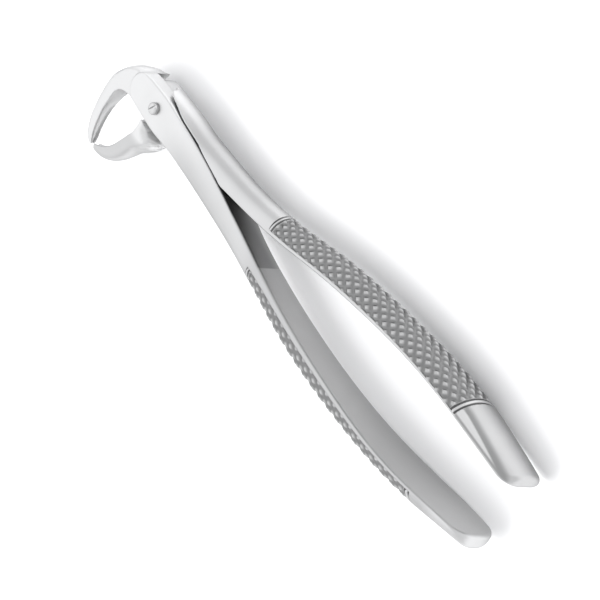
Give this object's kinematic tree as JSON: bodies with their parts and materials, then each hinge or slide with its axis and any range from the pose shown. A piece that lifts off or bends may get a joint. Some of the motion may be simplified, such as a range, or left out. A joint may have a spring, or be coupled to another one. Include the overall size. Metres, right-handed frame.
{
  "type": "dental extraction forceps",
  "caption": "Lower extraction forceps: two crossing levers in a lap joint with a slotted pivot screw, curved hawk's-bill beaks and long knurled handles.",
  "frame": {"origin": "where the hinge axis crosses the outer face of the far lever's half of the lap joint", "axes": "+Z along the hinge axis towards the screw's slotted head, -Y along the handles, -X the way the beaks reach"},
  "size_m": [0.0371, 0.1646, 0.0144],
  "materials": {
    "lever_steel": "satin stainless steel, polished at the joint",
    "screw_steel": "polished stainless steel"
  },
  "bodies": {
    "far": {"far_lever": "lever_steel", "pivot_screw": "screw_steel"},
    "near": {"near_lever": "lever_steel"}
  },
  "joints": [
    {"name": "lap_joint", "type": "hinge", "parent": "far", "child": "near", "pos_m": [0, 0, 0], "axis": [0, 0, -1], "range_deg": [0, 26]}
  ]
}
